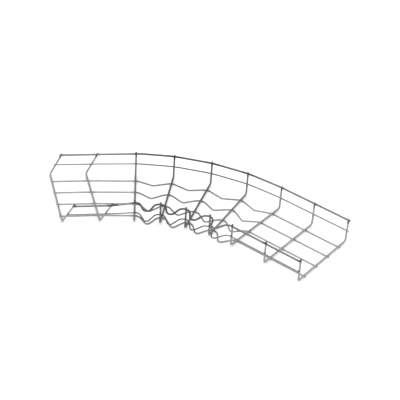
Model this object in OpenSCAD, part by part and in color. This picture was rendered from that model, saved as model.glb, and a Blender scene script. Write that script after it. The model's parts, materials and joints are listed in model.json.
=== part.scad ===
// Flat bend of welded wire cable tray, with crimped wires on the inner side of the bend.
// Seen from above, the tray runs along X and turns towards -Y, so +Y is the outer side of the bend.
// Each end is turned from X by half the bend. The tray lies on its floor wires, on the plane Z = 0,
// and the origin is on that plane, under the middle of the bounding box.

/* [Section] */
// Clear width between the walls at the floor
tray_w = 200; // [160:10:250]
// Height of the rim wires above the floor part of the cross wires, axis to axis
rim_h = 60.5; // [45:0.5:80]
// Height of the wires half way up the walls, measured the same way
wall_wire_h = 29; // [18:1:36]
// Outward lean of each wall of the upright cross wires, in degrees
flare_deg = 0; // [0:1:5]
// Distance between neighbouring floor wires
floor_wire_gap = 50; // [35:1:60]

/* [Wires] */
// Diameter of the cross wires and the rim wires
frame_wire_d = 5; // [4:0.5:6]
// Diameter of the floor wires and of the wires half way up the walls
mesh_wire_d = 3.5; // [3:0.5:5]
// How far two crossing wires sink into each other at a weld
weld_sink = 0.5; // [0.2:0.1:0.8]
// Bend radius of a cross wire's knee, at the wire's axis
knee_r = 6; // [6:1:14]
// Cut end of a cross wire above the axis of the outer rim wire
outer_stub_h = 8; // [4:0.5:12]
// Cut end of a cross wire above the axis of the inner rim wire
inner_stub_h = 2.5; // [2:0.5:10]
// Cut end of each long wire past the axis of the last cross wire
overhang = 3; // [3:0.5:20]

/* [Bend] */
// Turn of the whole tray, in degrees
bend_deg = 45; // [35:5:55]
// Distance between cross wires, along the outer foot of the tray
pitch = 100; // [90:5:120]
// Straight pitches before the turn
straights_before = 1; // [1:1:3]
// Length of each straight pitch before the turn
pitch_before = 93; // [85:1:120]
// Lean of the cross wires before the turn, along the tray and towards the turn, in degrees
lean_deg = 29; // [0:1:31]
// Outward lean of the walls of those leaning cross wires, in degrees
lean_flare_deg = 5; // [0:1:10]
// Slant of the leaning cross wires in plan, which sets their inner feet further on, in degrees
skew_deg = 7.5; // [0:0.5:10]
// Turn of the plain pitch that comes before the crimps, in degrees
lead_deg = 5; // [2:1:9]
// Length of that plain pitch, along the outer foot of the tray
lead_pitch = 130; // [110:1:140]
// Crimped pitches
crimp_count = 4; // [4:1:6]
// Straight pitches after the turn
straights_after = 2; // [1:1:3]
// Bend radius of the outer wires at each cross wire of the bend, at the wire's axis
sweep_r = 200; // [100:10:300]
// Length by which a wire is stretched in each crimp
crimp_stretch = 4; // [0:0.5:6]
// Depth of a crimp, as a part of the depth that a sharp crimp of that length would have
crimp_fill = 0.8; // [0.7:0.05:1]
// Bend radius of a crimped wire at a cross wire, as a part of half the room between the cross wires there
crest_share = 0.5; // [0.3:0.05:0.55]
// Bend radius of a crimped wire at the tip of a crimp, in diameters of that wire
tip_bend = 2; // [1.5:0.25:2.25]

/* [Hidden] */
// Turn and length of each pitch, from the left end to the right
step_deg = (bend_deg - lead_deg) / crimp_count;
pitches = concat(
    [for (i = [1:straights_before]) [0, pitch_before]],
    [[lead_deg, lead_pitch]],
    [for (i = [1:crimp_count]) [step_deg, pitch]],
    [for (i = [1:straights_after]) [0, pitch]]);

// Cross wires, counted from 0 at the left end: the last leaning one, and the ones round the crimps
lead_at = straights_before;
crimps_at = lead_at + 1;
crimps_end = crimps_at + crimp_count;
last = len(pitches);

// A bent stretch is thicker than the straight wire by this radius, and takes in this length of its ends
swell = 0.1;
tuck = 0.4;

// Axis of the floor wires, which lie on the ground, and of the cross wires' floor parts above them
floor_wire_z = mesh_wire_d / 2 + swell;
cross_z = floor_wire_z + weld_gap(mesh_wire_d);
axis_w = tray_w + frame_wire_d;
outer_wall_h = rim_h + outer_stub_h;
inner_wall_h = rim_h + inner_stub_h;

// Distance between the axes of a cross wire and of a wire of diameter d that is welded to it
function weld_gap(d) = (frame_wire_d + d) / 2 - weld_sink;

// Plan of the outer foot line: heading and place at each cross wire, and radius of a turning pitch
function turned(k) = k == 0 ? 0 : pitches[k - 1][0] + turned(k - 1);
function heading(k) = bend_deg / 2 - turned(k);
function along(deg) = [cos(deg), sin(deg)];
function outward(deg) = [-sin(deg), cos(deg)];
function turn_r(deg, length) = length / (deg * PI / 180);
function chord(deg, length) = deg == 0 ? length : 2 * turn_r(deg, length) * sin(deg / 2);
function foot(k) = k == 0 ? [0, 0]
    : foot(k - 1) + chord(pitches[k - 1][0], pitches[k - 1][1])
        * along(heading(k - 1) - pitches[k - 1][0] / 2);
function lean(k) = k <= lead_at ? lean_deg : 0;
function flare(k) = k <= lead_at ? lean_flare_deg : flare_deg;
function skew(k) = k <= lead_at ? skew_deg : 0;
// Plan point at a cross wire: u outwards from the outer foot, and s on along the tray from its slant
function spot(k, u, s) = foot(k) + u * outward(heading(k))
    + (s - u * tan(skew(k))) * along(heading(k));

// Track of a long wire where it crosses the wall or the floor of cross wire k: offset outwards from the
// outer foot, offset along the tray, and height of the wire's axis
function wall_track(h, d, k) =
    let (slope = atan(tan(flare(k)) / cos(lean(k))))
    [h * tan(flare(k)) + weld_gap(d) * cos(slope),
        h * sin(lean(k)),
        cross_z + h * cos(lean(k)) - weld_gap(d) * sin(slope)];
function inner(track) = [-axis_w - track[0], track[1], track[2]];
function floor_track(i) = [-axis_w / 2 + (2.5 - i) * floor_wire_gap, 0, floor_wire_z];
rim_tracks = [for (k = [lead_at, crimps_at]) wall_track(rim_h, frame_wire_d, k)];
wall_tracks = [for (k = [lead_at, crimps_at]) wall_track(wall_wire_h, mesh_wire_d, k)];

// A long wire is bent round a row of pins, each with its centre in plan, its radius and the height of
// the wire. The radius is negative where the wire passes the pin on its other side, and 0 at a cut end.
function end_pin(k, track, reach) = [spot(k, track[0], track[1] + reach), 0, track[2]];
function crest_pin(k, track, r) =
    [spot(k, track[0], track[1]) - r * outward(heading(k)), r, track[2]];
// The tip of a crimp lies half way between two cross wires, towards the centre of the bend. The crests
// beside it take up a part of the room that the cross wires leave there.
bend_r = turn_r(step_deg, pitch);
bend_centre = spot(crimps_at, -bend_r, 0);
function half_room(u) = (bend_r + u) * sin(step_deg / 2);
function crimp_depth(u) = crimp_fill
    * sqrt(pow((pitch + crimp_stretch) / 2, 2) - pow(half_room(u), 2));
function crimp_crest_pin(k, track) = crest_pin(k, track, crest_share * half_room(track[0]));
function tip_pin(k, track, r) = [
    bend_centre + (bend_r + track[0] - crimp_depth(track[0]) + r) * outward(heading(k) - step_deg / 2),
    -r, track[2]];
function plain_pins(tracks) = concat(
    [end_pin(0, tracks[0], -overhang), crest_pin(lead_at, tracks[0], sweep_r)],
    [for (k = [crimps_at:crimps_end]) crest_pin(k, tracks[1], sweep_r)],
    [end_pin(last, tracks[1], overhang)]);
function crimped_pins(tracks, d) = concat(
    [end_pin(0, tracks[0], -overhang), crest_pin(lead_at, tracks[0], sweep_r)],
    [for (k = [crimps_at:crimps_end - 1])
        each [crimp_crest_pin(k, tracks[1]), tip_pin(k, tracks[1], tip_bend * d)]],
    [crimp_crest_pin(crimps_end, tracks[1]), end_pin(last, tracks[1], overhang)]);

// Heading of the straight run from one pin to the next
function run_deg(from, to) =
    let (way = to[0] - from[0])
    atan2(way[1], way[0]) - asin((from[1] - to[1]) / norm(way));
// Corner at which the runs before and after a pin would meet, with the bend radius there
function corner(pins, i) =
    let (before = run_deg(pins[max(i - 1, 0)], pins[max(i, 1)]))
    let (after = run_deg(pins[min(i, len(pins) - 2)], pins[min(i + 1, len(pins) - 1)]))
    let (p = pins[i][0] + pins[i][1] / cos((before - after) / 2) * outward((before + after) / 2))
    [[p[0] - middle[0], p[1] - middle[1], pins[i][2]], abs(pins[i][1])];

// Point of a cross wire's plane: offset outwards from the outer foot, and height up the leaning plane
function frame_corner(k, u, h, r) =
    let (p = spot(k, u, h * sin(lean(k))) - middle)
    [[p[0], p[1], cross_z + h * cos(lean(k))], r];

// Middle of the bounding box in plan. The outer rim reaches furthest to the outer side and to the right,
// an end of the inner rim or the first inner knee furthest to the inner side, and the first outer knee or
// the outer rim to the left.
rim_r = frame_wire_d / 2;
y_top = max([for (k = [crimps_at:crimps_end])
    crest_pin(k, rim_tracks[1], sweep_r)[0][1]
        + (sweep_r + rim_r) * cos(max(abs(heading(k)) - step_deg / 2, 0))]);
knee_mid = knee_r * (1 - cos(45 - lean_flare_deg / 2));
y_low = min(
    spot(0, -axis_w + knee_mid, knee_mid * sin(lean_deg))[1] - rim_r,
    end_pin(0, inner(rim_tracks[0]), -overhang)[0][1] - rim_r * cos(heading(0)),
    end_pin(last, inner(rim_tracks[1]), overhang)[0][1] - rim_r * cos(heading(last)));
x_left = min(
    end_pin(0, rim_tracks[0], -overhang)[0][0] - rim_r * sin(heading(0)),
    spot(0, -knee_mid, knee_mid * sin(lean_deg))[0] - rim_r);
x_right = end_pin(last, rim_tracks[1], overhang)[0][0] - rim_r * sin(heading(last));
middle = [(x_left + x_right) / 2, (y_top + y_low) / 2];

zinc = [0.56, 0.57, 0.58];
wire_fn = 32;

// Direction of the straight run after corner i, turn at a corner, and what the bend there takes of a run
function unit(v) = v / norm(v);
function run_dir(corners, i) = unit(corners[i + 1][0] - corners[i][0]);
function turn_deg(corners, i) = acos(run_dir(corners, i - 1) * run_dir(corners, i));
function run_cut(corners, i) = i == 0 || i == len(corners) - 1 ? 0
    : corners[i][1] * tan(turn_deg(corners, i) / 2) - tuck;

// Round wire of diameter d through its corners, from one cut end to the other
module wire(corners, d, i = 0) {
    way = run_dir(corners, i);
    rod(corners[i][0] + run_cut(corners, i) * way, corners[i + 1][0] - run_cut(corners, i + 1) * way, d);
    if (i + 2 < len(corners)) {
        bend(corners[i + 1][0], way, run_dir(corners, i + 1), corners[i + 1][1], d + 2 * swell);
        wire(corners, d, i + 1);
    }
}

// Straight wire between two points
module rod(from, to, d) {
    way = to - from;
    translate(from)
        rotate([0, acos(way[2] / norm(way)), atan2(way[1], way[0])])
            cylinder(d = d, h = norm(way), $fn = wire_fn);
}

// Piece of a ring that rounds a corner with the radius r, from one direction to the next
module bend(point, before, after, r, d) {
    deg = acos(before * after);
    side = unit(after - (before * after) * before);
    axis = cross(before, side);
    start = point - r * tan(deg / 2) * before;
    multmatrix([
        [before[0], side[0], axis[0], start[0]],
        [before[1], side[1], axis[1], start[1]],
        [before[2], side[2], axis[2], start[2]],
        [0, 0, 0, 1]])
        translate([0, r, 0])
            rotate(-90)
                rotate_extrude(angle = deg, $fn = r > 50 ? 360 : 96)
                    translate([r, 0]) circle(d = d, $fn = wire_fn);
}

// Wire along the tray, bent round its pins
module long_wire(pins, d) {
    color(zinc) wire([for (i = [0:len(pins) - 1]) corner(pins, i)], d);
}

// U-shaped cross wire number k
module cross_wire(k) {
    slope = tan(flare(k - 1));
    color(zinc)
        wire([
            frame_corner(k - 1, outer_wall_h * slope, outer_wall_h, 0),
            frame_corner(k - 1, 0, 0, knee_r),
            frame_corner(k - 1, -axis_w, 0, knee_r),
            frame_corner(k - 1, -axis_w - inner_wall_h * slope, inner_wall_h, 0)], frame_wire_d);
}

// Floor wire number i, counted from the outer side
module floor_wire(i) {
    long_wire(crimped_pins([floor_track(i), floor_track(i)], mesh_wire_d), mesh_wire_d);
}

module outer_wall_wire() {
    long_wire(plain_pins(wall_tracks), mesh_wire_d);
}

module outer_rim_wire() {
    long_wire(plain_pins(rim_tracks), frame_wire_d);
}

module inner_wall_wire() {
    long_wire(crimped_pins([for (track = wall_tracks) inner(track)], mesh_wire_d), mesh_wire_d);
}

module inner_rim_wire() {
    long_wire(crimped_pins([for (track = rim_tracks) inner(track)], frame_wire_d), frame_wire_d);
}

for (i = [1:last + 1]) {
    cross_wire(i);
}
for (i = [1:4]) {
    floor_wire(i);
}
outer_wall_wire();
outer_rim_wire();
inner_wall_wire();
inner_rim_wire();
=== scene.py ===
"""Flat bend of welded wire cable tray, in zinc-plated steel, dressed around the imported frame.

Every wire is swept along its own axis, which follows the same rules as the solid that it stands for.
Lengths are in metres and angles in degrees. +Y is the outer side of the bend and Z is up.
"""

from __future__ import annotations

import json
import logging
import math
from dataclasses import dataclass, field
from enum import Enum
from typing import Any, Sequence

import bpy
from mathutils import Matrix, Vector

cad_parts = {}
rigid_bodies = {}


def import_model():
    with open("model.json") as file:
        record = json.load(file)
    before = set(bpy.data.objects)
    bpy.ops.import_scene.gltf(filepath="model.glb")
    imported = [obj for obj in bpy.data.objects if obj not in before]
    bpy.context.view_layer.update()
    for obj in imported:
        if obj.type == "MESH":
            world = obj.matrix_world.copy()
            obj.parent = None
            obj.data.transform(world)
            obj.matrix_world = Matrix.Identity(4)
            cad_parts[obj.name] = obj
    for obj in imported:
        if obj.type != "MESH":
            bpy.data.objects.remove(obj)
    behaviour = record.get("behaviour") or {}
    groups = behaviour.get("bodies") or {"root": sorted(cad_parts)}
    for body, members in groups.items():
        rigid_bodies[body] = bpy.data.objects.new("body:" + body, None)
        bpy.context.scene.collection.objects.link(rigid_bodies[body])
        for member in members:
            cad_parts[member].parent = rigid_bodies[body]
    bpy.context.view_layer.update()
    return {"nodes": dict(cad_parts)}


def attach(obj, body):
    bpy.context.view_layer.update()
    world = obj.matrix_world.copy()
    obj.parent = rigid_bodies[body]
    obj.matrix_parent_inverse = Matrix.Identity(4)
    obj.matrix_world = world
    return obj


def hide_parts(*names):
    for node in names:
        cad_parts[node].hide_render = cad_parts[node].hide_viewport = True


LOG = logging.getLogger("tray_bend")
IMAGE_PIXELS = 400
SENSOR_WIDTH_MM = 36.0
BODY = "root"

Colour = tuple[float, float, float, float]
Track = tuple[float, float, float]


class Gauge(Enum):
    """Diameter of the drawn wire that a piece is made of."""

    FRAME = 0.0050
    MESH = 0.0035

    @property
    def radius(self) -> float:
        """Radius of the wire."""
        return self.value / 2


class Side(Enum):
    """Side of the tray, as a sign along the outward direction."""

    OUTER = 1
    INNER = -1


class Term:
    """Output socket of a node, with operators that add the Math nodes of an expression."""

    def __init__(self, board: Board, socket: bpy.types.NodeSocket) -> None:
        """Keeps the socket and the board that its node is on."""
        self.board = board
        self.socket = socket

    def math(self, operation: str, *values: Term | float) -> Term:
        """Adds a Math node.

        Args:
            operation: Name of the operation.
            values: Its operands, in order.

        Returns:
            The node's result.
        """
        return self.board.node("ShaderNodeMath", {"operation": operation}, dict(enumerate(values)))

    def output(self, name: str) -> Term:
        """Another output of the same node, by name."""
        return Term(self.board, self.socket.node.outputs[name])

    def clamped(self) -> Term:
        """This value, held between 0 and 1."""
        return self.board.node("ShaderNodeClamp", {}, {"Value": self})

    def __add__(self, other: Term | float) -> Term:
        """This value plus another."""
        return self.math("ADD", self, other)

    def __radd__(self, other: float) -> Term:
        """A number plus this value."""
        return self.math("ADD", other, self)

    def __sub__(self, other: Term | float) -> Term:
        """This value less another."""
        return self.math("SUBTRACT", self, other)

    def __rsub__(self, other: float) -> Term:
        """A number less this value."""
        return self.math("SUBTRACT", other, self)

    def __mul__(self, other: Term | float) -> Term:
        """This value times another."""
        return self.math("MULTIPLY", self, other)

    def __rmul__(self, other: float) -> Term:
        """A number times this value."""
        return self.math("MULTIPLY", other, self)

    def __truediv__(self, other: Term | float) -> Term:
        """This value divided by another."""
        return self.math("DIVIDE", self, other)

    def __rtruediv__(self, other: float) -> Term:
        """A number divided by this value."""
        return self.math("DIVIDE", other, self)


class Board:
    """Node tree under construction, for a material or for geometry."""

    def __init__(self, tree: bpy.types.NodeTree) -> None:
        """Keeps the tree that nodes are added to."""
        self.tree = tree

    def node(
        self,
        kind: str,
        settings: dict[str, Any],
        sockets: dict[int | str, Any],
        out: int | str = 0,
    ) -> Term:
        """Adds a node.

        Args:
            kind: The node's type.
            settings: Its properties, which are set first.
            sockets: A value or a Term for each input, by name or number.
            out: The output that is returned, by name or number.

        Returns:
            The chosen output.
        """
        node = self.tree.nodes.new(kind)
        for name, value in settings.items():
            setattr(node, name, value)
        for key, value in sockets.items():
            if isinstance(value, Term):
                self.tree.links.new(value.socket, node.inputs[key])
            else:
                node.inputs[key].default_value = value
        return Term(self, node.outputs[out]) if len(node.outputs) else Term(self, node.inputs[0])

    def noise(self, place: Term, scale: float, detail: float, roughness: float = 0.5) -> Term:
        """Adds a noise pattern.

        Args:
            place: Coordinates of the pattern.
            scale: Waves per unit of those coordinates.
            detail: Number of finer layers.
            roughness: Strength of the finer layers.

        Returns:
            The pattern, from 0 to 1.
        """
        sockets = {"Vector": place, "Scale": scale, "Detail": detail, "Roughness": roughness}
        return self.node("ShaderNodeTexNoise", {"noise_dimensions": "3D"}, sockets, "Fac")

    def band(self, value: Term, low: float, high: float) -> Term:
        """Adds a smooth step.

        Args:
            value: The value to grade.
            low: Where the step starts.
            high: Where the step ends.

        Returns:
            0 below the step and 1 above it.
        """
        sockets = {"Value": value, "From Min": low, "From Max": high}
        return self.node("ShaderNodeMapRange", {"interpolation_type": "SMOOTHSTEP"}, sockets)

    def blend(self, factor: Term, first: Term | Colour, second: Term | Colour) -> Term:
        """Adds a Mix of two colours.

        Args:
            factor: Share of the second colour.
            first: Colour at 0.
            second: Colour at 1.

        Returns:
            The mixed colour.
        """
        sockets = {0: factor, 6: first, 7: second}
        return self.node("ShaderNodeMix", {"data_type": "RGBA", "clamp_factor": True}, sockets, 2)

    def stored(self, name: str, data_type: str = "FLOAT") -> Term:
        """Adds a geometry node that reads a named attribute.

        Args:
            name: The attribute's name.
            data_type: The attribute's type.

        Returns:
            The attribute as a field.
        """
        return self.node("GeometryNodeInputNamedAttribute", {"data_type": data_type}, {"Name": name})


@dataclass(frozen=True)
class ZincFinish:
    """Zinc plating on drawn wire: tone, wear, painted shade in the bend and relief of one group of pieces.
    """

    name: str
    bright: Colour
    dull: Colour
    # Colour of the painted shade in the middle of the bend.
    painted_bend_shade: Colour
    scorched: Colour
    sheen: tuple[float, float] = (0.30, 0.46)
    patch_scale: float = 55.0
    grain_scale: float = 1600.0
    streak_share: float = 0.35
    streak_run: float = 14.0
    streak_round: float = 5.0
    wear_band: tuple[float, float] = (0.34, 0.68)
    burn_scale: float = 420.0
    burn_raggedness: float = 0.5
    burn_band: tuple[float, float] = (0.30, 0.85)
    burn_share: float = 0.75
    burn_roughness: float = 0.10
    grain_roughness: float = 0.10
    relief: float = 0.00006
    relief_strength: float = 0.35

    def material(self) -> bpy.types.Material:
        """Builds the material.

        Returns:
            A metal whose tone changes in patches, in drawn lines and around the welds, with painted shade
            that darkens the middle of the bend.
        """
        made = bpy.data.materials.new(self.name)
        made.use_nodes = True
        made.node_tree.nodes.clear()
        board = Board(made.node_tree)
        place = board.node("ShaderNodeTexCoord", {}, {}, "Object")
        patches = board.noise(place, self.patch_scale, 5.0, 0.6)
        grain = board.noise(place, self.grain_scale, 3.0, 0.6)
        streaks = self.streaks(board)
        burn = self.burn(board, place)
        mottle = patches * (1 - self.streak_share) + streaks * self.streak_share
        wear = board.band(mottle, *self.wear_band)
        tone = board.blend(wear, self.bright, self.dull)
        # Painted shade darkens the middle of the bend.
        tone = board.blend(self.bend_shade_mask(board, patches), tone, self.painted_bend_shade)
        tone = board.blend(burn * self.burn_share, tone, self.scorched)
        low, high = self.sheen
        roughness = low + (high - low) * wear
        roughness = roughness + self.burn_roughness * burn + self.grain_roughness * (grain - 0.5)
        height = 0.6 * streaks + 0.4 * grain + 0.5 * burn * grain
        normal = board.node(
            "ShaderNodeBump",
            {},
            {"Strength": self.relief_strength, "Distance": self.relief, "Height": height},
        )
        shader = board.node(
            "ShaderNodeBsdfPrincipled",
            {},
            {"Base Color": tone, "Metallic": 1.0, "Roughness": roughness.clamped(), "Normal": normal},
        )
        board.node("ShaderNodeOutputMaterial", {}, {"Surface": shader})
        return made

    def streaks(self, board: Board) -> Term:
        """Lines that the drawing die leaves along a wire.

        Args:
            board: The material's tree.

        Returns:
            The lines, from 0 to 1.
        """
        run = board.node("ShaderNodeAttribute", {"attribute_name": "run"}, {}, "Fac")
        skin = board.node("ShaderNodeAttribute", {"attribute_name": "skin"}, {}, "Vector")
        parts = board.node("ShaderNodeSeparateXYZ", {}, {"Vector": skin})
        lay = board.node(
            "ShaderNodeCombineXYZ",
            {},
            {
                "X": run * self.streak_run,
                "Y": parts * self.streak_round,
                "Z": parts.output("Y") * self.streak_round,
            },
        )
        return board.noise(lay, 1.6, 4.0, 0.65)

    def bend_shade_mask(self, board: Board, patches: Term) -> Term:
        """Painted shade that darkens the zinc in the middle of the bend.

        Args:
            board: The material's tree.
            patches: Pattern that breaks up the painted shade.

        Returns:
            The painted shade, from 0 to 1.
        """
        bend_shade = board.node("ShaderNodeAttribute", {"attribute_name": "bend_shade"}, {}, "Fac")
        return (bend_shade * (0.85 + 0.3 * patches)).clamped()

    def burn(self, board: Board, place: Term) -> Term:
        """Dull zinc around the welds, with a ragged edge.

        Args:
            board: The material's tree.
            place: Object coordinates.

        Returns:
            The dulling, from 0 to 1.
        """
        heat = board.node("ShaderNodeAttribute", {"attribute_name": "weld_heat"}, {}, "Fac")
        ragged = board.noise(place, self.burn_scale, 3.0)
        return board.band(heat + self.burn_raggedness * (ragged - 0.5), *self.burn_band)


@dataclass(frozen=True)
class FloorFinish:
    """Matt white studio floor."""

    name: str = "studio_paper"
    pale: Colour = (0.94, 0.94, 0.94, 1.0)
    shade: Colour = (0.92, 0.92, 0.92, 1.0)

    def material(self) -> bpy.types.Material:
        """Builds the material.

        Returns:
            A matt white that varies very slightly.
        """
        made = bpy.data.materials.new(self.name)
        made.use_nodes = True
        made.node_tree.nodes.clear()
        board = Board(made.node_tree)
        place = board.node("ShaderNodeTexCoord", {}, {}, "Object")
        tone = board.blend(board.noise(place, 3.0, 3.0), self.pale, self.shade)
        shader = board.node(
            "ShaderNodeBsdfPrincipled",
            {},
            {"Base Color": tone, "Roughness": 0.9, "Specular IOR Level": 0.1},
        )
        board.node("ShaderNodeOutputMaterial", {}, {"Surface": shader})
        return made


@dataclass(frozen=True)
class Corner:
    """Point where two straight runs of a wire would meet, and the bend radius there."""

    point: Vector
    radius: float


@dataclass(frozen=True)
class Pin:
    """Former that a long wire is bent round: centre in plan, signed radius, and height of the wire."""

    centre: Vector
    radius: float
    height: float


@dataclass(frozen=True)
class Weld:
    """Spot where a long wire is welded to a cross wire."""

    point: Vector
    along: Vector
    normal: Vector
    gauge: Gauge


@dataclass(frozen=True)
class TrayPlan:
    """Sizes of the bend, and the rules that place its wires."""

    tray_w: float = 0.200
    rim_h: float = 0.0605
    wall_wire_h: float = 0.029
    flare_deg: float = 0.0
    floor_wire_gap: float = 0.050
    weld_sink: float = 0.0005
    knee_r: float = 0.006
    outer_stub_h: float = 0.008
    inner_stub_h: float = 0.0025
    overhang: float = 0.003
    bend_deg: float = 45.0
    pitch: float = 0.100
    straights_before: int = 1
    pitch_before: float = 0.093
    lean_deg: float = 29.0
    lean_flare_deg: float = 5.0
    skew_deg: float = 7.5
    lead_deg: float = 5.0
    lead_pitch: float = 0.130
    crimp_count: int = 4
    straights_after: int = 2
    sweep_r: float = 0.200
    crimp_stretch: float = 0.004
    crimp_fill: float = 0.80
    crest_share: float = 0.5
    tip_bend: float = 2.0
    swell: float = 0.0001
    floor_wires: int = 4
    # Where the painted shade of the bend fades in and where it fades out, in degrees round the bend's
    # centre.
    bend_shade_start: tuple[float, float] = (-19.0, -16.5)
    bend_shade_end: tuple[float, float] = (-2.0, 32.0)

    @property
    def step_deg(self) -> float:
        """Turn of one crimped pitch."""
        return (self.bend_deg - self.lead_deg) / self.crimp_count

    @property
    def pitches(self) -> list[tuple[float, float]]:
        """Pitches of the tray.

        Returns:
            Turn and length of each, from the left end to the right.
        """
        before = [(0.0, self.pitch_before)] * self.straights_before
        lead = [(self.lead_deg, self.lead_pitch)]
        crimped = [(self.step_deg, self.pitch)] * self.crimp_count
        return before + lead + crimped + [(0.0, self.pitch)] * self.straights_after

    @property
    def lead_at(self) -> int:
        """Last cross wire that leans, counted from 0."""
        return self.straights_before

    @property
    def crimps_at(self) -> int:
        """Cross wire at which the crimps start."""
        return self.lead_at + 1

    @property
    def crimps_end(self) -> int:
        """Cross wire at which the crimps end."""
        return self.crimps_at + self.crimp_count

    @property
    def last(self) -> int:
        """Last cross wire."""
        return len(self.pitches)

    @property
    def floor_wire_z(self) -> float:
        """Height of the floor wires' axes."""
        return Gauge.MESH.radius + self.swell

    @property
    def cross_z(self) -> float:
        """Height of the axes of the cross wires' floor parts."""
        return self.floor_wire_z + self.weld_gap(Gauge.MESH)

    @property
    def axis_w(self) -> float:
        """Distance between the feet of a cross wire's two walls."""
        return self.tray_w + Gauge.FRAME.value

    def weld_gap(self, gauge: Gauge) -> float:
        """Distance between the axes of a cross wire and of a wire that is welded to it."""
        return Gauge.FRAME.radius + gauge.radius - self.weld_sink

    def lean(self, k: int) -> float:
        """Lean of cross wire k along the tray, in radians."""
        return math.radians(self.lean_deg) if k <= self.lead_at else 0.0

    def flare(self, k: int) -> float:
        """Slope of the walls of cross wire k, as their outward offset for each unit of height."""
        return math.tan(math.radians(self.lean_flare_deg if k <= self.lead_at else self.flare_deg))

    def skew(self, k: int) -> float:
        """Slant of cross wire k in plan, as its offset along the tray for each unit of width."""
        return math.tan(math.radians(self.skew_deg)) if k <= self.lead_at else 0.0

    def heading(self, k: int) -> float:
        """Heading of the tray at cross wire k, in degrees."""
        return self.bend_deg / 2 - sum(turn for turn, _ in self.pitches[:k])

    @staticmethod
    def along(deg: float) -> Vector:
        """Unit vector in plan with that heading."""
        return Vector((math.cos(math.radians(deg)), math.sin(math.radians(deg))))

    @staticmethod
    def outward(deg: float) -> Vector:
        """Unit vector in plan towards the outer side."""
        return Vector((-math.sin(math.radians(deg)), math.cos(math.radians(deg))))

    def foot(self, k: int) -> Vector:
        """Place of the outer foot of cross wire k.

        Args:
            k: Number of the cross wire, from 0.

        Returns:
            The point in plan, before the tray is centred.
        """
        place = Vector((0.0, 0.0))
        for i, (turn, length) in enumerate(self.pitches[:k]):
            half = math.radians(turn) / 2
            chord = length * math.sin(half) / half if turn else length
            place = place + chord * self.along(self.heading(i) - turn / 2)
        return place

    def spot(self, k: int, out: float, on: float) -> Vector:
        """Plan point at a cross wire.

        Args:
            k: Number of the cross wire, from 0.
            out: Offset outwards from the outer foot.
            on: Offset along the tray, from the slant of the cross wire.

        Returns:
            The point, before the tray is centred.
        """
        on = on - out * self.skew(k)
        return self.foot(k) + out * self.outward(self.heading(k)) + on * self.along(self.heading(k))

    def slope(self, k: int) -> float:
        """Angle from upright of the walls of cross wire k, seen along the tray, in radians."""
        return math.atan(self.flare(k) / math.cos(self.lean(k)))

    def wall_track(self, side: Side, height: float, gauge: Gauge, k: int) -> Track:
        """Track of a long wire on a wall.

        Args:
            side: The wall.
            height: Height up the cross wire.
            gauge: The long wire.
            k: Number of the cross wire, from 0.

        Returns:
            Offset outwards, offset along the tray and height of the wire's axis.
        """
        slope = self.slope(k)
        lean = self.lean(k)
        gap = self.weld_gap(gauge)
        out = height * self.flare(k) + gap * math.cos(slope)
        if side is Side.INNER:
            out = -self.axis_w - out
        rise = self.cross_z + height * math.cos(lean) - gap * math.sin(slope)
        return out, height * math.sin(lean), rise

    def floor_track(self, i: int) -> Track:
        """Track of floor wire i, counted from 1 at the outer side."""
        middle = (self.floor_wires + 1) / 2
        return -self.axis_w / 2 + (middle - i) * self.floor_wire_gap, 0.0, self.floor_wire_z

    def end_pin(self, k: int, track: Track, reach: float) -> Pin:
        """Cut end of a long wire, past cross wire k."""
        return Pin(self.spot(k, track[0], track[1] + reach), 0.0, track[2])

    def crest_pin(self, k: int, track: Track, radius: float) -> Pin:
        """Former on the inner side of a long wire, at cross wire k."""
        touch = self.spot(k, track[0], track[1])
        return Pin(touch - radius * self.outward(self.heading(k)), radius, track[2])

    @property
    def bend_r(self) -> float:
        """Radius of the outer foot line in the crimped pitches."""
        return self.pitch / math.radians(self.step_deg)

    def half_room(self, track: Track) -> float:
        """Half of the distance between two cross wires of the bend, at a wire with that track."""
        return (self.bend_r + track[0]) * math.sin(math.radians(self.step_deg) / 2)

    def crimp_crest_pin(self, k: int, track: Track) -> Pin:
        """Former of a crimped wire at cross wire k, which takes up a part of the room beside it."""
        return self.crest_pin(k, track, self.crest_share * self.half_room(track))

    def tip_pin(self, k: int, track: Track, gauge: Gauge) -> Pin:
        """Former at the tip of the crimp after cross wire k.

        Args:
            k: Number of the cross wire, from 0.
            track: Track of the crimped wire.
            gauge: The crimped wire.

        Returns:
            The former, on the outer side of the wire.
        """
        half_length = (self.pitch + self.crimp_stretch) / 2
        depth = self.crimp_fill * math.sqrt(half_length**2 - self.half_room(track) ** 2)
        ray = self.outward(self.heading(k) - self.step_deg / 2)
        centre = self.spot(self.crimps_at, -self.bend_r, 0.0)
        radius = self.tip_bend * gauge.value
        reach = self.bend_r + track[0] - depth + radius
        return Pin(centre + reach * ray, -radius, track[2])

    def plain_pins(self, leaning: Track, upright: Track) -> list[Pin]:
        """Formers of a long wire without crimps.

        Args:
            leaning: Its track at the leaning cross wires.
            upright: Its track at the others.

        Returns:
            The formers, from the left end to the right.
        """
        bends = range(self.crimps_at, self.crimps_end + 1)
        first = self.end_pin(0, leaning, -self.overhang)
        lead = self.crest_pin(self.lead_at, leaning, self.sweep_r)
        sweeps = [self.crest_pin(k, upright, self.sweep_r) for k in bends]
        return [first, lead, *sweeps, self.end_pin(self.last, upright, self.overhang)]

    def crimped_pins(self, leaning: Track, upright: Track, gauge: Gauge) -> list[Pin]:
        """Formers of a long wire with a crimp in each pitch of the bend.

        Args:
            leaning: Its track at the leaning cross wires.
            upright: Its track at the others.
            gauge: The wire.

        Returns:
            The formers, from the left end to the right.
        """
        pins = [self.end_pin(0, leaning, -self.overhang)]
        pins.append(self.crest_pin(self.lead_at, leaning, self.sweep_r))
        for k in range(self.crimps_at, self.crimps_end):
            pins.append(self.crimp_crest_pin(k, upright))
            pins.append(self.tip_pin(k, upright, gauge))
        pins.append(self.crimp_crest_pin(self.crimps_end, upright))
        pins.append(self.end_pin(self.last, upright, self.overhang))
        return pins

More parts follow.
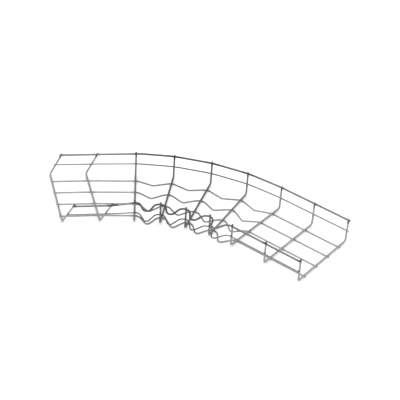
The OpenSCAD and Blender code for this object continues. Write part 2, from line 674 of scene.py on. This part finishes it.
    @staticmethod
    def run_deg(start: Pin, end: Pin) -> float:
        """Heading of the straight run between two formers.

        Args:
            start: The former that the run leaves.
            end: The former that it reaches.

        Returns:
            The heading in degrees.
        """
        way = end.centre - start.centre
        swing = math.asin((start.radius - end.radius) / way.length)
        return math.degrees(math.atan2(way.y, way.x) - swing)

    def corners(self, pins: Sequence[Pin]) -> list[Corner]:
        """Corners of a long wire that is bent round its formers.

        Args:
            pins: The formers, in order.

        Returns:
            The corners, in the frame of the part.
        """
        runs = [self.run_deg(a, b) for a, b in zip(pins, pins[1:])]
        made = []
        for i, pin in enumerate(pins):
            before = runs[max(i - 1, 0)]
            after = runs[min(i, len(runs) - 1)]
            reach = pin.radius / math.cos(math.radians(before - after) / 2)
            place = pin.centre + reach * self.outward((before + after) / 2) - self.middle
            made.append(Corner(Vector((place.x, place.y, pin.height)), abs(pin.radius)))
        return made

    def bend_shade(self, point: Vector) -> float:
        """How much painted shade the wire gets at a point, in the middle of the bend.

        Args:
            point: The point, in the frame of the part.

        Returns:
            1 in the first crimps, falling to 0 before them and along the run after them.
        """
        way = Vector((point.x, point.y)) + self.middle - self.spot(self.crimps_at, -self.bend_r, 0.0)
        deg = math.degrees(math.atan2(way.x, way.y))
        shares = []
        for low, high in (self.bend_shade_start, self.bend_shade_end):
            share = min(1.0, max(0.0, (deg - low) / (high - low)))
            shares.append(share * share * (3 - 2 * share))
        return shares[0] * (1 - shares[1])

    def frame_point(self, k: int, out: float, height: float) -> Vector:
        """Point of a cross wire's plane.

        Args:
            k: Number of the cross wire, from 0.
            out: Offset outwards from the outer foot.
            height: Height up the plane, which leans with the cross wire.

        Returns:
            The point, in the frame of the part.
        """
        place = self.spot(k, out, height * math.sin(self.lean(k))) - self.middle
        return Vector((place.x, place.y, self.cross_z + height * math.cos(self.lean(k))))

    @property
    def middle(self) -> Vector:
        """Middle of the bounding box in plan, before the tray is centred on it.

        Returns:
            The point.
        """
        rim_r = Gauge.FRAME.radius
        leaning, upright = self.tracks(Side.OUTER, self.rim_h, Gauge.FRAME)
        inner_leaning, inner_upright = self.tracks(Side.INNER, self.rim_h, Gauge.FRAME)
        first = math.radians(self.heading(0))
        final = math.radians(self.heading(self.last))
        tops = []
        for k in range(self.crimps_at, self.crimps_end + 1):
            swing = math.radians(max(abs(self.heading(k)) - self.step_deg / 2, 0.0))
            centre = self.crest_pin(k, upright, self.sweep_r).centre
            tops.append(centre.y + (self.sweep_r + rim_r) * math.cos(swing))
        knee = self.knee_r * (1 - math.cos(math.radians(45 - self.lean_flare_deg / 2)))
        knee_on = knee * math.sin(self.lean(0))
        low = min(
            self.spot(0, -self.axis_w + knee, knee_on).y - rim_r,
            self.end_pin(0, inner_leaning, -self.overhang).centre.y - rim_r * math.cos(first),
            self.end_pin(self.last, inner_upright, self.overhang).centre.y - rim_r * math.cos(final),
        )
        left = min(
            self.end_pin(0, leaning, -self.overhang).centre.x - rim_r * math.sin(first),
            self.spot(0, -knee, knee_on).x - rim_r,
        )
        right = self.end_pin(self.last, upright, self.overhang).centre.x - rim_r * math.sin(final)
        return Vector(((left + right) / 2, (max(tops) + low) / 2))

    def tracks(self, side: Side, height: float, gauge: Gauge) -> tuple[Track, Track]:
        """Tracks of a wall's long wire, at the leaning and at the upright cross wires."""
        leaning = self.wall_track(side, height, gauge, self.lead_at)
        return leaning, self.wall_track(side, height, gauge, self.crimps_at)

    def track_at(self, k: int, tracks: tuple[Track, Track]) -> Track:
        """The one of two tracks that holds at cross wire k."""
        return tracks[0] if k <= self.lead_at else tracks[1]


class GrowthTree:
    """Geometry Nodes tree with named inputs for its sizes, which makes one piece from a mesh."""

    def __init__(self, name: str, source: str, sizes: dict[str, str], result: str) -> None:
        """Starts the tree.

        Args:
            name: Name of the tree.
            source: Name of the geometry that goes in.
            sizes: Kind of each other input, by its name.
            result: Name of the geometry that comes out.
        """
        self.tree = bpy.data.node_groups.new(name, "GeometryNodeTree")
        face = self.tree.interface
        face.new_socket(source, in_out="INPUT", socket_type="NodeSocketGeometry")
        self.ids = {
            size: face.new_socket(size, in_out="INPUT", socket_type="NodeSocket" + kind).identifier
            for size, kind in sizes.items()
        }
        face.new_socket(result, in_out="OUTPUT", socket_type="NodeSocketGeometry")
        self.board = Board(self.tree)
        self.given = self.board.node("NodeGroupInput", {}, {})

    def dress(self, whole: Term) -> None:
        """Gives the geometry its finish and ends the tree with it.

        Args:
            whole: The geometry, without instances.
        """
        sockets = {"Geometry": whole, "Material": self.given.output("Finish")}
        dressed = self.board.node("GeometryNodeSetMaterial", {}, sockets)
        self.board.node("NodeGroupOutput", {}, {0: dressed})

    def grow(self, name: str, mesh: bpy.types.Mesh, sizes: dict[str, Any]) -> bpy.types.Object:
        """Runs the tree on a mesh and keeps its result as a plain mesh.

        Args:
            name: Name of the piece.
            mesh: The mesh that the tree starts from.
            sizes: A value for each input, by its name.

        Returns:
            The piece, at the origin, with no modifier.
        """
        piece = bpy.data.objects.new(name, mesh)
        bpy.context.scene.collection.objects.link(piece)
        modifier = piece.modifiers.new(self.tree.name, "NODES")
        modifier.node_group = self.tree
        for size, value in sizes.items():
            modifier[self.ids[size]] = value
        graph = bpy.context.evaluated_depsgraph_get()
        plain = bpy.data.meshes.new_from_object(
            piece.evaluated_get(graph), preserve_all_data_layers=True, depsgraph=graph
        )
        piece.modifiers.remove(modifier)
        piece.data = plain
        plain.name = name
        bpy.data.meshes.remove(mesh)
        return piece


class WireSweep(GrowthTree):
    """Geometry Nodes tree that bends a polyline at its corners and sweeps a round wire along it."""

    BEND_RADIUS = "bend_r"
    BEND_POINTS = "bend_n"
    GIRTH = "girth"

    def __init__(self) -> None:
        """Builds the tree."""
        sizes = {"Wire radius": "Float", "Sides": "Int", "Sharp angle": "Float", "Finish": "Material"}
        super().__init__("wire_sweep", "Axis", sizes, "Wire")
        board, given = self.board, self.given
        path = board.node("GeometryNodeMeshToCurve", {}, {"Mesh": given})
        path = board.node(
            "GeometryNodeFilletCurve",
            {"mode": "POLY"},
            {
                "Curve": path,
                "Count": board.stored(self.BEND_POINTS, "INT"),
                "Radius": board.stored(self.BEND_RADIUS),
                "Limit Radius": True,
            },
        )
        length = board.node("GeometryNodeSplineParameter", {}, {}, "Length")
        path = board.node(
            "GeometryNodeStoreNamedAttribute",
            {"data_type": "FLOAT", "domain": "POINT"},
            {"Geometry": path, "Name": "run", "Value": length},
        )
        ring = board.node(
            "GeometryNodeCurvePrimitiveCircle",
            {"mode": "RADIUS"},
            {"Resolution": given.output("Sides"), "Radius": given.output("Wire radius")},
        )
        spoke = board.node(
            "ShaderNodeVectorMath",
            {"operation": "NORMALIZE"},
            {0: board.node("GeometryNodeInputPosition", {}, {})},
        )
        ring = board.node(
            "GeometryNodeStoreNamedAttribute",
            {"data_type": "FLOAT_VECTOR", "domain": "POINT"},
            {"Geometry": ring, "Name": "skin", "Value": spoke},
        )
        swept = board.node(
            "GeometryNodeCurveToMesh",
            {},
            {"Curve": path, "Profile Curve": ring, "Scale": board.stored(self.GIRTH), "Fill Caps": True},
        )
        swept = board.node("GeometryNodeSetShadeSmooth", {"domain": "FACE"}, {"Geometry": swept})
        fold = board.node("GeometryNodeInputMeshEdgeAngle", {}, {})
        crease = board.node(
            "FunctionNodeCompare",
            {"data_type": "FLOAT", "operation": "GREATER_THAN"},
            {0: fold, 1: given.output("Sharp angle")},
        )
        swept = board.node(
            "GeometryNodeSetShadeSmooth",
            {"domain": "EDGE"},
            {"Geometry": swept, "Selection": crease, "Shade Smooth": False},
        )
        self.dress(board.node("GeometryNodeRealizeInstances", {}, {"Geometry": swept}))


class BeadSpread(GrowthTree):
    """Geometry Nodes tree that sets an uneven bead of squeezed metal at each weld."""

    def __init__(self) -> None:
        """Builds the tree."""
        sizes = {"Roundness": "Int", "Unevenness": "Float", "Lump size": "Float", "Finish": "Material"}
        super().__init__("weld_beads", "Spots", sizes, "Beads")
        board, given = self.board, self.given
        spots = board.node("GeometryNodeMeshToPoints", {"mode": "VERTICES"}, {"Mesh": given})
        ball = board.node(
            "GeometryNodeMeshIcoSphere", {}, {"Radius": 1.0, "Subdivisions": given.output("Roundness")}
        )
        turn = board.node(
            "FunctionNodeAxesToRotation",
            {"primary_axis": "Z", "secondary_axis": "X"},
            {0: board.stored("normal_way", "FLOAT_VECTOR"), 1: board.stored("wire_way", "FLOAT_VECTOR")},
        )
        beads = board.node(
            "GeometryNodeInstanceOnPoints",
            {},
            {
                "Points": spots,
                "Instance": ball,
                "Rotation": turn,
                "Scale": board.stored("half_size", "FLOAT_VECTOR"),
            },
        )
        whole = board.node("GeometryNodeRealizeInstances", {}, {"Geometry": beads})
        lumps = board.node(
            "ShaderNodeTexNoise",
            {"noise_dimensions": "3D"},
            {
                "Vector": board.node("GeometryNodeInputPosition", {}, {}),
                "Scale": 1.0 / given.output("Lump size"),
                "Detail": 1.0,
            },
        )
        push = (lumps - 0.5) * given.output("Unevenness")
        offset = board.node(
            "ShaderNodeVectorMath",
            {"operation": "SCALE"},
            {0: board.node("GeometryNodeInputNormal", {}, {}), "Scale": push},
        )
        lumpy = board.node("GeometryNodeSetPosition", {}, {"Geometry": whole, "Offset": offset})
        self.dress(board.node("GeometryNodeSetShadeSmooth", {"domain": "FACE"}, {"Geometry": lumpy}))


@dataclass
class WireStrand:
    """One wire of the tray, from its corners to its finished mesh."""

    plan: TrayPlan
    node: str
    gauge: Gauge
    corners: list[Corner]
    sides: int = 20
    step: float = 0.006
    bend_step_deg: float = 7.0
    chamfer: float = 0.0004
    cut_girth: float = 0.82
    sharp_deg: float = 35.0
    heat_reach: float = 0.0050
    mesh_heat: float = 0.55

    def cut(self, i: int) -> float:
        """Length of the straight run that the bend at a corner takes up.

        Args:
            i: Number of the corner.

        Returns:
            The length, which is 0 at a cut end.
        """
        if i in (0, len(self.corners) - 1):
            return 0.0
        return self.corners[i].radius * math.tan(self.turn(i) / 2)

    def turn(self, i: int) -> float:
        """Turn of the wire at a corner.

        Args:
            i: Number of the corner.

        Returns:
            The turn in radians.
        """
        before = self.corners[i].point - self.corners[i - 1].point
        after = self.corners[i + 1].point - self.corners[i].point
        return before.angle(after)

    def run_points(self, i: int) -> list[Vector]:
        """Points between the bends on the straight run after a corner.

        Args:
            i: Number of the corner.

        Returns:
            The points, without the corners themselves.
        """
        start, end = self.corners[i].point, self.corners[i + 1].point
        way = (end - start).normalized()
        low, high = self.cut(i), (end - start).length - self.cut(i + 1)
        count = max(1, round((high - low) / self.step))
        marks = [low + (high - low) * (j + 0.5) / count for j in range(count)]
        if i == 0:
            marks.insert(0, self.chamfer)
        if i == len(self.corners) - 2:
            marks.append(high - self.chamfer)
        return [start + mark * way for mark in marks]

    def axis_mesh(self, welds: Sequence[Weld]) -> bpy.types.Mesh:
        """Polyline of the wire's axis, with the values that its sweep and its finish read.

        Args:
            welds: Every weld of the tray.

        Returns:
            A mesh of edges.
        """
        final = len(self.corners) - 1
        points, radii, counts, girths = [], [], [], []
        for i, corner in enumerate(self.corners):
            is_end = i in (0, final)
            points.append(corner.point)
            radii.append(0.0 if is_end else corner.radius)
            steps = 1 if is_end else math.ceil(math.degrees(self.turn(i)) / self.bend_step_deg)
            counts.append(1 if is_end else max(2, steps))
            girths.append(self.cut_girth if is_end else 1.0)
            between = self.run_points(i) if i < final else []
            points.extend(between)
            radii.extend([0.0] * len(between))
            counts.extend([1] * len(between))
            girths.extend([1.0] * len(between))
        heats = [self.heat(point, welds) for point in points]
        mesh = bpy.data.meshes.new(self.node + "_axis")
        mesh.from_pydata(points, [(i, i + 1) for i in range(len(points) - 1)], [])
        for name, kind, values in (
            (WireSweep.BEND_RADIUS, "FLOAT", radii),
            (WireSweep.BEND_POINTS, "INT", counts),
            (WireSweep.GIRTH, "FLOAT", girths),
            ("weld_heat", "FLOAT", heats),
            # painted shade in the middle of the bend
            ("bend_shade", "FLOAT", [self.plan.bend_shade(point) for point in points]),
        ):
            mesh.attributes.new(name, kind, "POINT").data.foreach_set("value", values)
        return mesh

    def heat(self, point: Vector, welds: Sequence[Weld]) -> float:
        """How close a point of the axis is to a weld.

        Args:
            point: The point.
            welds: Every weld of the tray.

        Returns:
            1 at a weld of a rim and less at other welds, falling to 0 a few millimetres away.
        """
        felt = 0.0
        for weld in welds:
            away = max(0.0, (weld.point - point).length - self.gauge.radius)
            share = 1.0 if weld.gauge is Gauge.FRAME else self.mesh_heat
            felt = max(felt, share * math.exp(-((away / self.heat_reach) ** 2)))
        return felt

    def build(
        self, sweep: WireSweep, welds: Sequence[Weld], finish: bpy.types.Material
    ) -> bpy.types.Object:
        """Makes the wire and puts it in the place of its solid.

        Args:
            sweep: The tree that sweeps wires.
            welds: Every weld of the tray.
            finish: The wire's material.

        Returns:
            The piece.
        """
        sizes = {
            "Wire radius": self.gauge.radius,
            "Sides": self.sides,
            "Sharp angle": math.radians(self.sharp_deg),
            "Finish": finish,
        }
        piece = sweep.grow("plated_" + self.node, self.axis_mesh(welds), sizes)
        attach(piece, BODY)
        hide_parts(self.node)
        LOG.info("%s: %d points, %d faces", piece.name, len(piece.data.vertices), len(piece.data.polygons))
        return piece


@dataclass
class CrossWires:
    """The U-shaped wires across the tray."""

    plan: TrayPlan
    finish: ZincFinish

    def strands(self) -> list[WireStrand]:
        """Lays out the cross wires.

        Returns:
            The wires, from the left end to the right.
        """
        plan = self.plan
        outer = plan.rim_h + plan.outer_stub_h
        inner = plan.rim_h + plan.inner_stub_h
        made = []
        for k in range(plan.last + 1):
            corners = [
                Corner(plan.frame_point(k, outer * plan.flare(k), outer), 0.0),
                Corner(plan.frame_point(k, 0.0, 0.0), plan.knee_r),
                Corner(plan.frame_point(k, -plan.axis_w, 0.0), plan.knee_r),
                Corner(plan.frame_point(k, -plan.axis_w - inner * plan.flare(k), inner), 0.0),
            ]
            made.append(WireStrand(plan, f"cross_wire_{k + 1}", Gauge.FRAME, corners))
        return made

    def build(self, sweep: WireSweep, welds: Sequence[Weld]) -> None:
        """Makes every cross wire.

        Args:
            sweep: The tree that sweeps wires.
            welds: Every weld of the tray.
        """
        material = self.finish.material()
        for strand in self.strands():
            strand.build(sweep, welds, material)


@dataclass
class LongWires:
    """The wires along the tray: rims, wall wires and floor wires."""

    plan: TrayPlan
    # The rim finish is the same zinc made darker: painted shade.
    rim_shaded_finish: ZincFinish
    # The wall finish is the same zinc made darker: painted shade.
    wall_shaded_finish: ZincFinish
    floor_finish: ZincFinish

    def layout(self) -> list[tuple[str, Gauge, tuple[Track, Track], bool]]:
        """Lays out the long wires.

        Returns:
            Name, gauge, tracks and crimping of each.
        """
        plan = self.plan
        rows = []
        for i in range(1, plan.floor_wires + 1):
            rows.append((f"floor_wire_{i}", Gauge.MESH, (plan.floor_track(i),) * 2, True))
        for side, crimped in ((Side.OUTER, False), (Side.INNER, True)):
            name = side.name.lower()
            wall = plan.tracks(side, plan.wall_wire_h, Gauge.MESH)
            rim = plan.tracks(side, plan.rim_h, Gauge.FRAME)
            rows.append((f"{name}_wall_wire", Gauge.MESH, wall, crimped))
            rows.append((f"{name}_rim_wire", Gauge.FRAME, rim, crimped))
        return rows

    def welds(self) -> list[Weld]:
        """Finds the spots where the long wires are welded to the cross wires.

        Returns:
            The welds, wire by wire, from the left end to the right.
        """
        plan = self.plan
        made = []
        for name, gauge, tracks, _ in self.layout():
            for k in range(plan.last + 1):
                out, on, height = plan.track_at(k, tracks)
                place = plan.spot(k, out, on) - plan.middle
                axis = Vector((place.x, place.y, height))
                along = plan.along(plan.heading(k)).to_3d()
                normal = self.inward(name, k)
                point = axis + (gauge.radius - plan.weld_sink / 2) * normal
                made.append(Weld(point, along, normal, gauge))
        return made

    def inward(self, name: str, k: int) -> Vector:
        """Direction from a long wire to the cross wire that it is welded to.

        Args:
            name: Name of the long wire.
            k: Number of the cross wire, from 0.

        Returns:
            The unit vector.
        """
        if name.startswith("floor"):
            return Vector((0.0, 0.0, 1.0))
        side = Side.OUTER if name.startswith("outer") else Side.INNER
        slope = self.plan.slope(k)
        out = self.plan.outward(self.plan.heading(k)).to_3d()
        return -side.value * math.cos(slope) * out + Vector((0.0, 0.0, math.sin(slope)))

    def build(self, sweep: WireSweep, welds: Sequence[Weld]) -> None:
        """Makes every long wire.

        Args:
            sweep: The tree that sweeps wires.
            welds: Every weld of the tray.
        """
        finishes = {
            "rim": self.rim_shaded_finish.material(),
            "wall": self.wall_shaded_finish.material(),
            "floor": self.floor_finish.material(),
        }
        for name, gauge, tracks, crimped in self.layout():
            plan = self.plan
            pins = plan.crimped_pins(*tracks, gauge) if crimped else plan.plain_pins(*tracks)
            strand = WireStrand(plan, name, gauge, plan.corners(pins))
            group = next(key for key in finishes if key in name)
            strand.build(sweep, welds, finishes[group])


@dataclass
class WeldBeads:
    """Metal that the resistance welds squeeze out between two wires."""

    finish: ZincFinish
    cover: float = 0.95
    spare: float = 0.0003
    thickness: float = 0.0010
    roundness: int = 2
    unevenness: float = 0.0005
    lump_size: float = 0.0011

    def build(self, welds: Sequence[Weld]) -> bpy.types.Object:
        """Makes the beads as one mesh.

        Args:
            welds: Every weld of the tray.

        Returns:
            The piece.
        """
        mesh = bpy.data.meshes.new("weld_spots")
        mesh.from_pydata([weld.point for weld in welds], [], [])
        sizes = [
            Vector((self.cover * Gauge.FRAME.radius, weld.gauge.radius + self.spare, self.thickness))
            for weld in welds
        ]
        for name, values in (
            ("normal_way", [weld.normal for weld in welds]),
            ("wire_way", [weld.along for weld in welds]),
            ("half_size", sizes),
        ):
            flat = [number for vector in values for number in vector]
            mesh.attributes.new(name, "FLOAT_VECTOR", "POINT").data.foreach_set("vector", flat)
        inputs = {
            "Roundness": self.roundness,
            "Unevenness": self.unevenness,
            "Lump size": self.lump_size,
            "Finish": self.finish.material(),
        }
        piece = BeadSpread().grow("weld_beads", mesh, inputs)
        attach(piece, BODY)
        LOG.info("%s: %d welds, %d faces", piece.name, len(welds), len(piece.data.polygons))
        return piece


@dataclass(frozen=True)
class Softbox:
    """Large soft light far from the tray: where it stands, how wide it looks and what it gives."""

    name: str
    azimuth: float
    elevation: float
    spread: float
    strength: float

    def build(self) -> bpy.types.Object:
        """Adds the light.

        Returns:
            The light.
        """
        lamp = bpy.data.lights.new(self.name, "SUN")
        lamp.energy = self.strength
        lamp.angle = math.radians(self.spread)
        light = bpy.data.objects.new(self.name, lamp)
        bpy.context.scene.collection.objects.link(light)
        turn, rise = math.radians(self.azimuth), math.radians(self.elevation)
        to_light = Vector(
            (math.sin(turn) * math.cos(rise), math.cos(turn) * math.cos(rise), math.sin(rise))
        )
        light.rotation_euler = to_light.to_track_quat("Z", "Y").to_euler()
        return light


@dataclass(frozen=True)
class CameraStand:
    """Camera at the photograph's viewing angle."""

    yaw: float = -13.678
    pitch: float = 36.058
    roll: float = 3.913
    distance: float = 2.9980
    scale: float = 400.53
    aim_right: float = 0.02390
    aim_up: float = 0.02094
    aim_height: float = 0.030
    far_end: float = 100.0

    def build(self) -> bpy.types.Object:
        """Adds the camera and makes it the scene's camera.

        Returns:
            The camera.
        """
        yaw, pitch, roll = (math.radians(a) for a in (self.yaw, self.pitch, self.roll))
        ahead = Vector(
            (math.sin(yaw) * math.cos(pitch), math.cos(yaw) * math.cos(pitch), -math.sin(pitch))
        )
        level = Vector((math.cos(yaw), -math.sin(yaw), 0.0))
        steep = level.cross(ahead)
        right = math.cos(roll) * level + math.sin(roll) * steep
        up = -math.sin(roll) * level + math.cos(roll) * steep
        place = Vector((0.0, 0.0, self.aim_height)) + self.aim_right * right + self.aim_up * up
        place = place - self.distance * ahead
        data = bpy.data.cameras.new("photo_camera")
        data.sensor_width = SENSOR_WIDTH_MM
        data.lens = SENSOR_WIDTH_MM * self.scale * self.distance / IMAGE_PIXELS
        data.clip_end = self.far_end
        camera = bpy.data.objects.new("photo_camera", data)
        bpy.context.scene.collection.objects.link(camera)
        turn = Matrix((right, up, -ahead)).transposed()
        camera.matrix_world = Matrix.Translation(place) @ turn.to_4x4()
        bpy.context.scene.camera = camera
        return camera


@dataclass
class Studio:
    """Pale floor, soft lights and the sky that the wires reflect."""

    floor_half: float = 30.0
    floor_z: float = -0.0001
    sky: Colour = (0.80, 0.80, 0.80, 1.0)
    boxes: tuple[Softbox, ...] = (
        Softbox("key_softbox", 172.0, 80.0, 90.0, 1.7),
        Softbox("left_softbox", -75.0, 25.0, 45.0, 0.30),
        Softbox("right_softbox", 65.0, 25.0, 45.0, 0.30),
    )
    finish: FloorFinish = field(default_factory=FloorFinish)

    def build(self) -> None:
        """Makes the floor, the sky and the lights."""
        half = self.floor_half
        mesh = bpy.data.meshes.new("studio_floor")
        square = [(-half, -half), (half, -half), (half, half), (-half, half)]
        mesh.from_pydata([(x, y, self.floor_z) for x, y in square], [], [(0, 1, 2, 3)])
        mesh.materials.append(self.finish.material())
        floor = bpy.data.objects.new("studio_floor", mesh)
        bpy.context.scene.collection.objects.link(floor)
        world = bpy.data.worlds.new("studio_sky")
        world.use_nodes = True
        world.node_tree.nodes.clear()
        board = Board(world.node_tree)
        glow = board.node("ShaderNodeBackground", {}, {"Color": self.sky, "Strength": 1.0})
        board.node("ShaderNodeOutputWorld", {}, {"Surface": glow})
        bpy.context.scene.world = world
        for box in self.boxes:
            box.build()
        bpy.context.scene.view_settings.view_transform = "Standard"
        LOG.info("studio: floor, sky and %d soft lights", len(self.boxes))


# The third colour of each finish is the painted shade for the middle of the bend.
CROSS_ZINC = ZincFinish(
    "zinc_cross_wire",
    bright=(0.360, 0.364, 0.370, 1.0),
    dull=(0.290, 0.293, 0.297, 1.0),
    painted_bend_shade=(0.140, 0.142, 0.145, 1.0),
    scorched=(0.050, 0.049, 0.047, 1.0),
)
# The rims get a darker copy of the cross wires' zinc: painted shade.
RIM_ZINC_PAINTED_SHADE = ZincFinish(
    "zinc_rim_wire",
    bright=(0.215, 0.218, 0.222, 1.0),
    dull=(0.170, 0.172, 0.175, 1.0),
    painted_bend_shade=(0.090, 0.091, 0.092, 1.0),
    scorched=(0.040, 0.039, 0.037, 1.0),
)
# The wall wires get a darker copy of the floor wires' zinc: painted shade.
WALL_ZINC_PAINTED_SHADE = ZincFinish(
    "zinc_wall_wire",
    bright=(0.260, 0.263, 0.268, 1.0),
    dull=(0.210, 0.212, 0.216, 1.0),
    painted_bend_shade=(0.100, 0.101, 0.103, 1.0),
    scorched=(0.120, 0.118, 0.114, 1.0),
)
FLOOR_ZINC = ZincFinish(
    "zinc_floor_wire",
    bright=(0.380, 0.384, 0.390, 1.0),
    dull=(0.300, 0.303, 0.308, 1.0),
    painted_bend_shade=(0.220, 0.222, 0.226, 1.0),
    scorched=(0.160, 0.158, 0.154, 1.0),
)
WELD_ZINC = ZincFinish(
    "zinc_weld_bead",
    bright=(0.190, 0.190, 0.190, 1.0),
    dull=(0.110, 0.109, 0.107, 1.0),
    painted_bend_shade=(0.100, 0.099, 0.097, 1.0),
    scorched=(0.090, 0.088, 0.084, 1.0),
    sheen=(0.42, 0.62),
    patch_scale=600.0,
    streak_share=0.0,
    relief=0.00012,
)


def main() -> None:
    """Builds the tray around the frame, then the studio and the camera."""
    logging.basicConfig(level=logging.INFO, format="%(name)s: %(message)s")
    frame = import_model()
    LOG.info("frame: %d nodes", len(frame["nodes"]))
    CameraStand().build()
    plan = TrayPlan()
    cross_wires = CrossWires(plan, CROSS_ZINC)
    long_wires = LongWires(plan, RIM_ZINC_PAINTED_SHADE, WALL_ZINC_PAINTED_SHADE, FLOOR_ZINC)
    sweep = WireSweep()
    welds = long_wires.welds()
    cross_wires.build(sweep, welds)
    long_wires.build(sweep, welds)
    WeldBeads(WELD_ZINC).build(welds)
    Studio().build()


if __name__ == "__main__":
    main()
